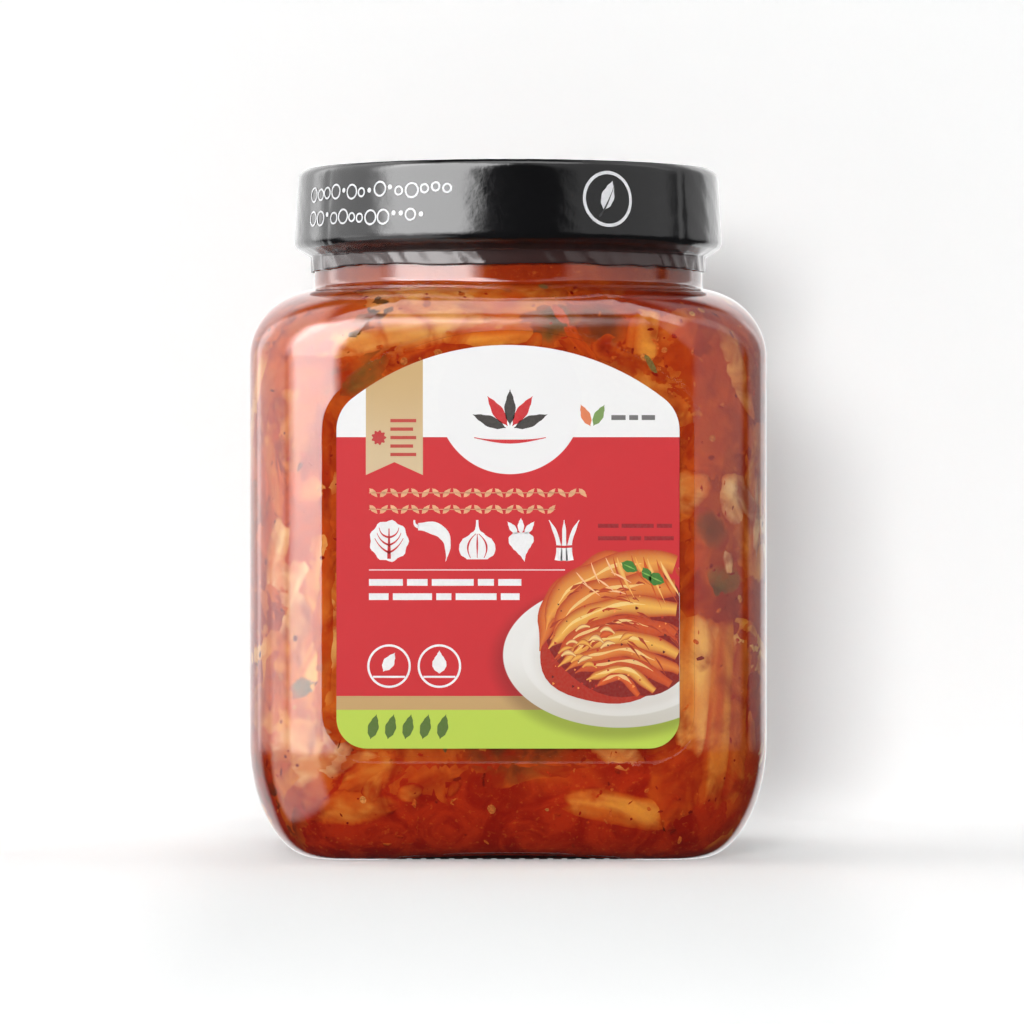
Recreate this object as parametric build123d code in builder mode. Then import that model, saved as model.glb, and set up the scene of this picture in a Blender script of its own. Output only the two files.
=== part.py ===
from build123d import *
import os
from math import cos, radians, sin, sqrt

# A square clear plastic jar of pickled cabbage, 1.5 kg size.
# Millimetres, +Z up. The origin is the middle of the standing face, and the label faces -Y.

# Jar: a blow-moulded body with rounded upright corners, a domed shoulder and a round heel.
body_width = 118.0
corner_radius = 24.0
wall = 1.0
heel_height = 27.0
heel_width = 15.5
heel_steps = 7
shoulder_start = 114.0
shoulder_height = 17.0
shoulder_steps = 8

# Neck: a wide round mouth that rises out of the shoulder through a small concave fillet.
# The shoulder's top edge lies inside it by the root insets, at the flats and at the corners.
neck_radius = 45.5
neck_show = 10.0
neck_foot_fillet = 1.6
neck_root_flat_inset = 3.5
neck_root_corner_inset = 2.6

# Base: a ribbed foot ring, a pushed-up middle, and edges that arch up between the corners.
# The arches are cut from a little below the standing face.
foot_ring_half = 42.0
foot_ring_width = 4.0
foot_ring_corner = 7.0
push_up = 2.5
edge_arch_height = 1.3
edge_arch_half = 32.0
cut_below = 0.2
rib_pitch = 3.2
rib_count = 17
rib_groove_width = 1.2
rib_groove_depth = 0.5

# Label, and the flat panel that it lies in. Both are arched at the top.
label_half = 38.5
label_bottom = 25.8
label_top = 116.4
label_arch_radius = 57.0
label_top_corner = 9.0
label_bottom_corner = 6.8
label_thickness = 0.2
label_gap = 0.02
panel_margin = 3.3
panel_bottom_margin = 1.8
panel_depth = 1.6

# Screw cap, standing on the rim of the neck with its skirt out past the thread.
cap_height = 17.4
cap_overhang = 4.0
cap_taper = 0.9
cap_wall = 1.5
cap_edge_fillet = 2.0
cap_seat_gap = 0.1

# Shrink band: film over the cap that draws in under it and grips the neck.
film = 0.3
film_gap = 0.2
band_lap = 5.0
band_cone_drop = 3.6
band_hem_drop = 6.0

# Contents, packed to just under the rim.
fill_gap = 0.15
fill_drop = 2.5

# Worked out from the sizes above.
body_half = body_width / 2
corner_centre = body_half - corner_radius
body_top = shoulder_start + shoulder_height
shoulder_width = body_half - neck_radius + neck_root_flat_inset
cap_radius = neck_radius + cap_overhang
cap_bottom = body_top + neck_show
cap_top = cap_bottom + cap_height
rim_height = cap_top - cap_wall - cap_seat_gap
panel_face = body_half - panel_depth
push_up_half = foot_ring_half - foot_ring_width
turns = (0, 90, 180, 270)


def heel_section(angle, inset):
    """Height, half width and corner radius of the heel: 90 is the base, 0 is the upright wall."""
    height = heel_height - (heel_height - inset) * sin(radians(angle))
    half = body_half - heel_width + (heel_width - inset) * cos(radians(angle))
    return height, half, half - corner_centre


def shoulder_section(angle, inset):
    """Height, half width and corner radius of the shoulder: 0 is the wall, 90 is under the neck."""
    height = shoulder_start + (shoulder_height - inset) * sin(radians(angle))
    half = body_half - shoulder_width + (shoulder_width - inset) * cos(radians(angle))
    low_reach = corner_centre * sqrt(2) + corner_radius - inset
    top_reach = neck_radius - neck_root_corner_inset
    reach = top_reach + (low_reach - top_reach) * cos(radians(angle))
    return height, half, (half * sqrt(2) - reach) / (sqrt(2) - 1)


def rounded_square(height, half, corner):
    with BuildSketch(Plane.XY.offset(height)) as square:
        RectangleRounded(2 * half, 2 * half, corner)
    return square.sketch


def arched_outline(plane, half, bottom, top, arch_radius, top_corner, bottom_corner):
    """The label's outline: straight foot and sides, an arched top and rounded corners."""
    spring = top - arch_radius + sqrt(arch_radius**2 - half**2)
    with BuildSketch(plane) as outline:
        with BuildLine():
            Polyline((-half, spring), (-half, bottom), (half, bottom), (half, spring))
            ThreePointArc((half, spring), (0, top), (-half, spring))
        make_face()
        fillet(outline.vertices().group_by(Axis.Y)[0], bottom_corner)
        fillet(outline.vertices().group_by(Axis.Y)[-1], top_corner)
    return outline.sketch


def panel_plugs(inset):
    """What the flat panels at front and back take away from the body."""
    grow = panel_margin + inset
    with BuildPart() as plugs:
        for turn in (0, 180):
            plane = Plane.XZ.rotated((0, 0, turn)).offset(panel_face - inset)
            panel = arched_outline(plane, label_half + grow,
                                   label_bottom - panel_bottom_margin - inset,
                                   label_top + grow, label_arch_radius + grow,
                                   label_top_corner + grow, label_bottom_corner + grow)
            extrude(panel, amount=body_half)
    return plugs.part


def base_relief(inset):
    """What the push-up and the four edge arches take away from the base."""
    rise = edge_arch_height + cut_below
    arch_radius = (edge_arch_half**2 + rise**2) / (2 * rise)
    arch_half = sqrt((arch_radius + inset)**2 - (arch_radius - rise)**2)
    with BuildPart() as relief:
        push_up_face = rounded_square(0, push_up_half + inset, foot_ring_corner)
        extrude(push_up_face, amount=push_up + inset, taper=45)
        for turn in turns:
            plane = Plane.XZ.rotated((0, 0, turn)).offset(foot_ring_half - inset)
            with BuildSketch(plane) as arch:
                with BuildLine():
                    ThreePointArc((-arch_half, -cut_below), (0, edge_arch_height + inset),
                                  (arch_half, -cut_below))
                    Line((arch_half, -cut_below), (-arch_half, -cut_below))
                make_face()
            extrude(arch.sketch, amount=body_half)
    return relief.part


def jar_form(inset, top, foot_fillet=0):
    """The jar as a solid lump, shrunk all over by inset and cut off level at top."""
    plugs = panel_plugs(inset)
    relief = base_relief(inset)
    with BuildPart() as form:
        loft([rounded_square(*heel_section(90 - 90 * step / heel_steps, inset))
              for step in range(heel_steps + 1)])
        wall_face = rounded_square(heel_height, body_half - inset, corner_radius - inset)
        extrude(wall_face, amount=shoulder_start - heel_height)
        loft([rounded_square(*shoulder_section(90 * step / shoulder_steps, inset))
              for step in range(shoulder_steps + 1)])
        with BuildSketch(Plane.XY.offset(shoulder_start)):
            Circle(neck_radius - inset)
        extrude(amount=top - shoulder_start)
        if foot_fillet:
            neck_wall = form.faces().filter_by(GeomType.CYLINDER).sort_by(SortBy.AREA)[-1]
            foot = [e for e in neck_wall.edges() if e.center().Z < body_top + 1 and e.length > 1]
            fillet(foot, foot_fillet)
        add(plugs, mode=Mode.SUBTRACT)
        add(relief, mode=Mode.SUBTRACT)
    return form.part


# The jar: the lump less its cavity, with grooves across the foot ring that leave ribs.
jar_lump = jar_form(0, rim_height, neck_foot_fillet)
jar_cavity = jar_form(wall, rim_height + wall)

with BuildPart() as jar:
    add(jar_lump)
    add(jar_cavity, mode=Mode.SUBTRACT)
    with BuildSketch():
        with PolarLocations(foot_ring_half - foot_ring_width / 2, len(turns)):
            with GridLocations(1, rib_pitch, 1, rib_count):
                Rectangle(foot_ring_width, rib_groove_width)
    extrude(amount=rib_groove_depth, mode=Mode.SUBTRACT)
jar.part.label = "jar"

# The contents: cabbage and sauce that fill the cavity to just under the rim.
kimchi_lump = jar_form(wall + fill_gap, rim_height - fill_drop)

with BuildPart() as kimchi:
    add(kimchi_lump)
kimchi.part.label = "kimchi"

# The cap: a slightly tapered shell with a rounded top edge.
with BuildPart() as cap:
    with BuildSketch(Plane.XZ) as cap_profile:
        with BuildLine():
            Polyline((0, cap_top), (cap_radius - cap_taper, cap_top), (cap_radius, cap_bottom),
                     (cap_radius - cap_wall, cap_bottom),
                     (cap_radius - cap_taper - cap_wall, cap_top - cap_wall),
                     (0, cap_top - cap_wall), close=True)
        make_face()
        top_edge = cap_profile.vertices().group_by(Axis.Y)[-1].sort_by(Axis.X)[-1]
        fillet(top_edge, cap_edge_fillet)
    revolve(axis=Axis.Z)
cap.part.label = "cap"

# The shrink band: its inner line follows the cap and the neck at a small gap.
with BuildPart() as shrink_band:
    with BuildSketch(Plane.XZ) as band_profile:
        with BuildLine() as band_line:
            Polyline((cap_radius - cap_taper - band_lap, cap_top + film_gap),
                     (cap_radius - cap_taper + film_gap, cap_top + film_gap),
                     (cap_radius + film_gap, cap_bottom - film_gap),
                     (neck_radius + film_gap, cap_bottom - band_cone_drop),
                     (neck_radius + film_gap, cap_bottom - band_hem_drop))
            lap_corner = band_line.vertices().group_by(Axis.Y)[-1].sort_by(Axis.X)[-1]
            fillet(lap_corner, cap_edge_fillet + film_gap)
            offset(amount=film, side=Side.LEFT)
        make_face()
    revolve(axis=Axis.Z)
shrink_band.part.label = "shrink_band"

# The label: a thin printed sheet on the front panel.
with BuildPart() as front_label:
    label_outline = arched_outline(Plane.XZ.offset(panel_face + label_gap), label_half,
                                   label_bottom, label_top, label_arch_radius,
                                   label_top_corner, label_bottom_corner)
    extrude(label_outline, amount=label_thickness)
front_label.part.label = "front_label"

os.makedirs("parts", exist_ok=True)
for piece in (jar, kimchi, cap, shrink_band, front_label):
    export_step(piece.part, f"parts/{piece.part.label}.step")
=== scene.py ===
"""A square clear plastic jar of pickled cabbage with a black screw cap, film band and front label."""

from math import asin, atan2, cos, degrees, floor, hypot, pi, radians, sin
from random import Random

import bpy
from mathutils import Matrix, Vector, noise
from mathutils.bvhtree import BVHTree


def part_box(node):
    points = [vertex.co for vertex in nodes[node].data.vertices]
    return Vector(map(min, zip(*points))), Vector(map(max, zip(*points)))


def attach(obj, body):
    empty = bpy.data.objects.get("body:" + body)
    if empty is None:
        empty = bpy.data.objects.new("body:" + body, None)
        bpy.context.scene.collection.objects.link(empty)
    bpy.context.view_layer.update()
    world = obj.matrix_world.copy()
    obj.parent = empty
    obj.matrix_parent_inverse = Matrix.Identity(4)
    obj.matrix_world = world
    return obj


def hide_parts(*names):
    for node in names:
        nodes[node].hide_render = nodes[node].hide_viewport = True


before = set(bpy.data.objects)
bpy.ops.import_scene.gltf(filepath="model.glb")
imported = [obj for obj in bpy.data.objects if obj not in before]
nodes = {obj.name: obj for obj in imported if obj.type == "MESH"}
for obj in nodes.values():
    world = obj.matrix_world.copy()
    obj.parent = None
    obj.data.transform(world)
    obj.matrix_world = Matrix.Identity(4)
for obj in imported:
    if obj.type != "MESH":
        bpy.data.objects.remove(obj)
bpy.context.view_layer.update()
mm = 0.001


# ---------------------------------------------------------------- Jar
# One blow-moulded body of clear plastic, 1 mm thick, with a flat label panel at front and back,
# a domed shoulder, a wide neck and a ribbed foot ring. The cap screws onto its neck.

def colour(red, green, blue):
    """A colour given in 0-255 screen values."""
    return tuple((c / 255 / 12.92 if c <= 10 else ((c / 255 + 0.055) / 1.055) ** 2.4)
                 for c in (red, green, blue)) + (1.0,)


def finish(name, values):
    """A new material with one principled shader, set to the values, and that shader."""
    made = bpy.data.materials.new(name)
    made.use_nodes = True
    shader = made.node_tree.nodes["Principled BSDF"]
    for socket, value in values.items():
        shader.inputs[socket].default_value = value
    return made, shader


def feed(material, value, node, socket="Base Color"):
    """Lets a node's output drive a socket. The node is given itself or by its name."""
    node = material.node_tree.nodes[node] if isinstance(node, str) else node
    material.node_tree.links.new(value, node.inputs[socket])


def step(material, kind, inputs=None, **settings):
    """Adds a shader node. Each input is a value or another node's output."""
    made = material.node_tree.nodes.new("ShaderNode" + kind)
    for name, value in settings.items():
        setattr(made, name, value)
    for name, value in (inputs or {}).items():
        if isinstance(value, bpy.types.NodeSocket):
            feed(material, value, made, name)
        else:
            made.inputs[name].default_value = value
    return made


def place_of(material):
    """The point on the piece, in millimetres."""
    here = step(material, "TexCoord").outputs["Object"]
    return step(material, "Mapping", {"Vector": here, "Scale": (1 / mm,) * 3}).outputs[0]


def speckle(material, place, scale, detail=2.0, **inputs):
    """Noise from 0 to 1. The scale is in features per millimetre."""
    return step(material, "TexNoise", {"Vector": place, "Scale": scale, "Detail": detail,
                                       **inputs}).outputs[0]


def between(material, value, low, high, start=0.0, end=1.0, kind="SMOOTHSTEP"):
    """Turns low..high into start..end, and holds the ends."""
    return step(material, "MapRange", {0: value, 1: low, 2: high, 3: start, 4: end},
                interpolation_type=kind).outputs[0]


def blend(material, share, first, second, kind="MIX"):
    """Mixes two colours."""
    return step(material, "Mix", {0: share, 6: first, 7: second}, data_type="RGBA",
                blend_type=kind).outputs[2]


def layer(material, first, second, value, low, high, start=0.0, end=1.0):
    """Lays a second colour over the first as a value goes from low to high."""
    return blend(material, between(material, value, low, high, start, end), first, second)


def sums(material, kind, first, second=0.0, third=0.0):
    return step(material, "Math", {0: first, 1: second, 2: third}, operation=kind).outputs[0]


def bump(material, shader, height, strength, distance):
    made = step(material, "Bump", {"Height": height, "Strength": strength, "Distance": distance})
    feed(material, made.outputs[0], shader, "Normal")


clear_wall, shader = finish("clear_wall", {"Base Color": (1.0, 0.995, 0.985, 1.0), "IOR": 1.7,
                                           "Transmission Weight": 1.0, "Roughness": 0.08})
ripple = speckle(clear_wall, place_of(clear_wall), 0.06, 1.0)
bump(clear_wall, shader, ripple, 0.12, 0.0008)
light_path = step(clear_wall, "LightPath")
open_way = step(clear_wall, "BsdfTransparent", {"Color": (0.97, 0.97, 0.96, 1.0)})
seen = step(clear_wall, "MixShader", {0: light_path.outputs["Is Shadow Ray"],
                                      1: shader.outputs[0], 2: open_way.outputs[0]})
feed(clear_wall, seen.outputs[0], "Material Output", "Surface")
nodes["jar"].data.materials[0] = clear_wall


# ---------------------------------------------------------------- Kimchi: sauce and packed cabbage
# Chopped cabbage in a red chilli sauce fills the jar to just under the rim. This is the mass of it:
# its skin reaches a quarter of a millimetre into the wall, so that no air shows between them.

def show_only(piece):
    bpy.ops.object.select_all(action="DESELECT")
    piece.select_set(True)
    bpy.context.view_layer.objects.active = piece


def apply_modifier(piece, kind, **settings):
    show_only(piece)
    made = piece.modifiers.new(kind.lower(), kind)
    for name, value in settings.items():
        setattr(made, name, value)
    bpy.ops.object.modifier_apply(modifier=made.name)


def copy_of(node, name):
    """A merged copy of a CAD node as a new piece."""
    piece = bpy.data.objects.new(name, node.data.copy())
    bpy.context.scene.collection.objects.link(piece)
    show_only(piece)
    bpy.ops.object.mode_set(mode="EDIT")
    bpy.ops.mesh.select_all(action="SELECT")
    bpy.ops.mesh.remove_doubles(threshold=0.00001)
    bpy.ops.object.mode_set(mode="OBJECT")
    return piece


def sauce_colour(material, place):
    """Red chilli sauce: deep red brine low down, orange higher up, darker and lighter clouds in it, and
    painted shade on its right half and under the cap.
    """
    x, _, z = step(material, "SeparateXYZ", {0: place}).outputs
    cloud = speckle(material, place, 0.045, 3.0, Roughness=0.62, Distortion=0.6)
    swirl = speckle(material, place, 0.1, 4.0, Roughness=0.6, Distortion=1.2)
    grain = speckle(material, place, 0.8, 3.0, Roughness=0.7)
    orange = layer(material, colour(180, 58, 13), colour(216, 100, 28), cloud, 0.36, 0.62)
    orange = layer(material, orange, colour(146, 36, 12), swirl, 0.5, 0.72, 0.0, 0.75)
    # the upper sauce darkens towards the jar's right half: painted shade on the side away from the light
    orange = layer(material, orange, colour(142, 36, 14), x, 6.0, 40.0, 0.0, 0.6)
    brine = layer(material, colour(150, 27, 10), colour(184, 50, 18), swirl, 0.38, 0.62)
    both = layer(material, brine, orange, sums(material, "MULTIPLY_ADD", cloud, 30.0, z), 30.0, 56.0)
    # the sauce darkens near the neck: painted shade under the cap
    both = layer(material, both, colour(116, 36, 14), z, 126.0, 133.0, 0.0, 0.4)
    both = layer(material, both, colour(222, 112, 42), grain, 0.56, 0.74, 0.0, 0.35)
    both = layer(material, both, colour(96, 18, 6), grain, 0.26, 0.42, 0.3, 0.0)
    return both, grain


body_of_kimchi = copy_of(nodes["kimchi"], "kimchi_body")
apply_modifier(body_of_kimchi, "REMESH", mode="VOXEL", voxel_size=1.6 * mm)
apply_modifier(body_of_kimchi, "SHRINKWRAP", target=nodes["kimchi"], wrap_method="NEAREST_SURFACEPOINT",
               wrap_mode="OUTSIDE_SURFACE", offset=0.25 * mm)
bpy.ops.object.shade_smooth()

sauce, shader = finish("chilli_sauce", {"Roughness": 0.55, "Specular IOR Level": 0.0})
red, grain = sauce_colour(sauce, place_of(sauce))
feed(sauce, red, shader)
bump(sauce, shader, grain, 0.5, 0.0005)
body_of_kimchi.data.materials.clear()
body_of_kimchi.data.materials.append(sauce)
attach(body_of_kimchi, "root")
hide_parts("kimchi")


# ---------------------------------------------------------------- Cabbage stems and leaves
# Pieces of salted cabbage, up to 60 mm long, pressed flat against the wall: thick pale stems with
# long ribs, and thin crinkled leaf stained by the sauce. They overlap at all angles.

skin = BVHTree.FromObject(body_of_kimchi, bpy.context.evaluated_depsgraph_get())
# in millimetres: half the flat of a side, the corner's radius outside and at the cabbage, where the
# heel ends and the shoulder starts, and how far their curves run
flat, corner, packed_corner = 35, 24, 22.85
heel, heel_run, shoulder, shoulder_run = 27, 21.3, 114, 17
flat_reach, turn_radius = flat * mm, packed_corner * mm
side_length = 2 * flat_reach + turn_radius * pi / 2
face_reach = flat_reach + turn_radius
heel_top, shoulder_foot = heel * mm, shoulder * mm


def wall_place(along, up):
    """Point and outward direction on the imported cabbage, just inside the wall. Along runs round
    the jar from the middle of the front, and up over the heel, the wall and the shoulder."""
    side = floor((along + flat_reach) / side_length)
    along -= side * side_length
    if along <= flat_reach:
        foot, out = Vector((along, -face_reach, 0)), Vector((0, -1, 0))
    else:
        angle = (along - flat_reach) / turn_radius
        out = Vector((sin(angle), -cos(angle), 0))
        foot = Vector((flat_reach, -flat_reach, 0)) + out * turn_radius
    if up < heel_top:
        tilt, inset = -min((heel_top - up) / (heel_run * mm), 1.5), 16 * mm
        height = heel_top
    elif up > shoulder_foot:
        tilt, inset = min((up - shoulder_foot) / (shoulder_run * mm), 1.27), shoulder_run * mm
        height = shoulder_foot
    else:
        tilt, inset, height = 0, 10 * mm, up
    centre = foot - out * inset + Vector((0, 0, height))
    away = out * cos(tilt) + Vector((0, 0, sin(tilt)))
    turn = Matrix.Rotation(side * pi / 2, 3, "Z")
    centre, away = turn @ centre, turn @ away
    hit, normal, _, _ = skin.ray_cast(centre + away * 0.04, -away)
    if hit is None:
        hit, normal, _, _ = skin.find_nearest(centre + away * inset)
    return hit, normal


def front_place(x, z):
    """Along and up for a point seen from the front, in millimetres."""
    over = min(abs(x) - flat, corner - 0.1)
    along = abs(x) if over <= 0 else flat + packed_corner * asin(over / corner)
    if z > shoulder:
        z = shoulder + shoulder_run * asin(min((z - shoulder) / shoulder_run, 1))
    elif z < heel:
        z = heel - heel_run * asin(min((heel - z) / heel, 1))
    return (along if x > 0 else -along) * mm, z * mm


class Heap:
    """Collects the points, faces and paint of many small pieces that make one mesh."""

    def __init__(self):
        self.points, self.faces, self.paint = [], [], []

    def grid(self, rows, paints):
        first, across = len(self.points), len(rows[0])
        for row, shades in zip(rows, paints):
            self.points += row
            self.paint += shades
        for i in range(len(rows) - 1):
            for j in range(across - 1):
                a = first + i * across + j
                self.faces.append((a, a + across, a + across + 1, a + 1))

    def piece(self, name, material, slot):
        mesh = bpy.data.meshes.new(name)
        mesh.from_pydata(self.points, [], self.faces)
        paint = mesh.attributes.new("paint", "FLOAT_COLOR", "POINT")
        paint.data.foreach_set("color", [c for shade in self.paint for c in shade])
        mesh.materials.append(material)
        mesh.shade_smooth()
        made = bpy.data.objects.new(name, mesh)
        bpy.context.scene.collection.objects.link(made)
        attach(made, "root")
        return made


def mixed(first, second, share):
    share = min(max(share, 0.0), 1.0)
    return tuple(a + (b - a) * share for a, b in zip(first, second))


def smooth(low, high, value):
    value = min(max((value - low) / (high - low), 0.0), 1.0)
    return value * value * (3 - 2 * value)


shades = {
    "cream": (colour(242, 216, 160), colour(216, 138, 62)),
    "pale": (colour(238, 188, 104), colour(206, 106, 38)),
    "yellow": (colour(232, 162, 66), colour(198, 84, 24)),
    "amber": (colour(214, 120, 42), colour(184, 66, 18)),
    "orange": (colour(206, 84, 26), colour(162, 44, 12)),
    "red": (colour(178, 52, 22), colour(132, 28, 12)),
    "brown": (colour(132, 72, 34), colour(76, 34, 16)),
    "green": (colour(124, 106, 50), colour(70, 52, 24)),
    "teal": (colour(128, 144, 126), colour(84, 78, 60)),
}


def cabbage(heap, along, up, length, width, turn, kind, shade, lift=0.0, bend=0.0, seed=0):
    """One piece of cabbage on the wall. Lengths in millimetres, the turn in degrees from upright."""
    luck = Random(seed)
    light, deep = shades[shade]
    slant = radians(turn)
    shift = Vector((luck.uniform(-90, 90), luck.uniform(-90, 90), luck.uniform(-90, 90)))
    across = max(8, int(width / (1.0 if kind == "stem" else 1.4)))
    down = max(8, int(length / 1.8))
    taper = luck.uniform(-0.3, 0.3)
    square = luck.uniform(-0.35, 0.35)
    ribs = luck.uniform(2.0, 3.2)
    rows, paints = [], []
    for i in range(down + 1):
        u = 2 * i / down - 1
        row, paint = [], []
        for j in range(across + 1):
            v = 2 * j / across - 1
            ragged = Vector((u * length * 0.05, v * width * 0.05, 0)) + shift
            wobble = noise.noise(ragged) + 0.25 * noise.noise(ragged * 3.1)
            if kind == "stem":
                end = min(1, 0.7 + 0.9 * (1 - abs(u)))
                run = u * length / 2 + square * v * width / 2
                run += 1.6 * noise.noise(shift + Vector((v * 2, 7, u)))
            else:
                end = (1 - abs(u) ** 2.4) ** 0.6 if abs(u) < 1 else 0
                run = u * length / 2 * (1 + 0.2 * noise.noise(shift + Vector((v * 1.6, 7, u))))
            half = width / 2 * max(end, 0.03) * (1 + taper * u + (0.2 if kind == "stem" else 0.5) * wobble)
            side = v * half + bend * (u * u - 0.4) * length / 2
            here, out = wall_place(along + (side * cos(slant) + run * sin(slant)) * mm,
                                   up + (run * cos(slant) - side * sin(slant)) * mm)
            if kind == "stem":
                edge = (1 - abs(v) ** 2.4) * (1 - abs(u) ** 8)
            else:
                edge = (1 - abs(v) ** 1.8) * (1 - abs(u) ** 2.2)
            at = shift + here / mm * 0.11
            if kind == "stem":
                fibre = noise.noise(shift + Vector((v * width * 0.28, u * length * 0.02, 3)))
                fibre += 0.6 * noise.noise(shift + Vector((v * width * 0.7, u * length * 0.03, 9)))
                fold = 0.5 + 0.5 * sin(v * ribs * 2.2 + 2.0 * noise.noise(shift + Vector((u * 1.1, v, 3))))
                tone = 0.42 * fold + 0.34 + 0.7 * fibre + 0.35 * noise.noise(at * 1.2)
                tone *= 0.35 + 0.65 * smooth(0.0, 0.8, edge)
                rise = 0.08 * fold
            else:
                warp = Vector((noise.noise(at * 0.9), noise.noise(at * 0.9 + Vector((5, 5, 5))), 0))
                fold = 1 - min(1, abs(noise.noise(at * 1.5 + warp * 1.8)) * 3.2)
                fine = 1 - min(1, abs(noise.noise(at * 3.9 + warp * 2.4)) * 2.8)
                # the crinkles' ridges are painted paler, a painted highlight, and their hollows deeper, as
                # painted shade and pooled sauce, over the leaf's own mottled tone
                tone = 0.5 * fold + 0.34 * fine + 0.5 * noise.noise(at * 0.7) + 0.05
                rise = 0.14 * fold + 0.04 * fine
                tone = 0.5 + 0.8 * (tone - 0.5)
            height = -0.2 + 0.32 * smooth(0.0, 1.0, edge) + rise + 0.7 * lift
            row.append(here + out * (height * mm))
            paint.append(mixed(deep, light, tone)[:3] + (edge,))
        rows.append(row)
        paints.append(paint)
    heap.grid(rows, paints)


def painted(material):
    """The paint that a heap laid on its points."""
    return step(material, "Attribute", attribute_name="paint").outputs


def cabbage_skin(name, streaks, crisp):
    """Cabbage under a thin coat of sauce, which runs over its edges and pools in its folds, over the painted
    highlight and shade of the leaves' crinkles.
    """
    made, shader = finish(name, {"Roughness": 0.5, "Specular IOR Level": 0.0})
    place = place_of(made)
    red, grain = sauce_colour(made, place)
    paint = painted(made)
    drift = speckle(made, place, 0.17, 3.0, Roughness=0.6, Distortion=0.8)
    stain = speckle(made, place, 0.08, 3.0, Roughness=0.55, Distortion=1.0)
    fibre = speckle(made, place, 1.3, 2.0)
    tone = blend(made, between(made, fibre, 0.3, 0.75, 0.0, streaks), paint["Color"],
                 colour(250, 226, 176), "SOFT_LIGHT")
    tone = layer(made, tone, red, stain, 0.4, 0.7, 0.14, 0.9)
    near = sums(made, "MULTIPLY_ADD", drift, 0.9, sums(made, "SUBTRACT", paint["Alpha"], 0.45))
    halo = blend(made, 0.65, red, colour(216, 96, 26))
    halo = layer(made, halo, colour(158, 40, 12), stain, 0.4, 0.62)
    under = layer(made, red, halo, near, -0.05, 0.4)
    feed(made, layer(made, under, tone, near, 0.14, crisp), shader)
    bump(made, shader, sums(made, "ADD", grain, fibre), 0.25, 0.0004)
    return made


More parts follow.
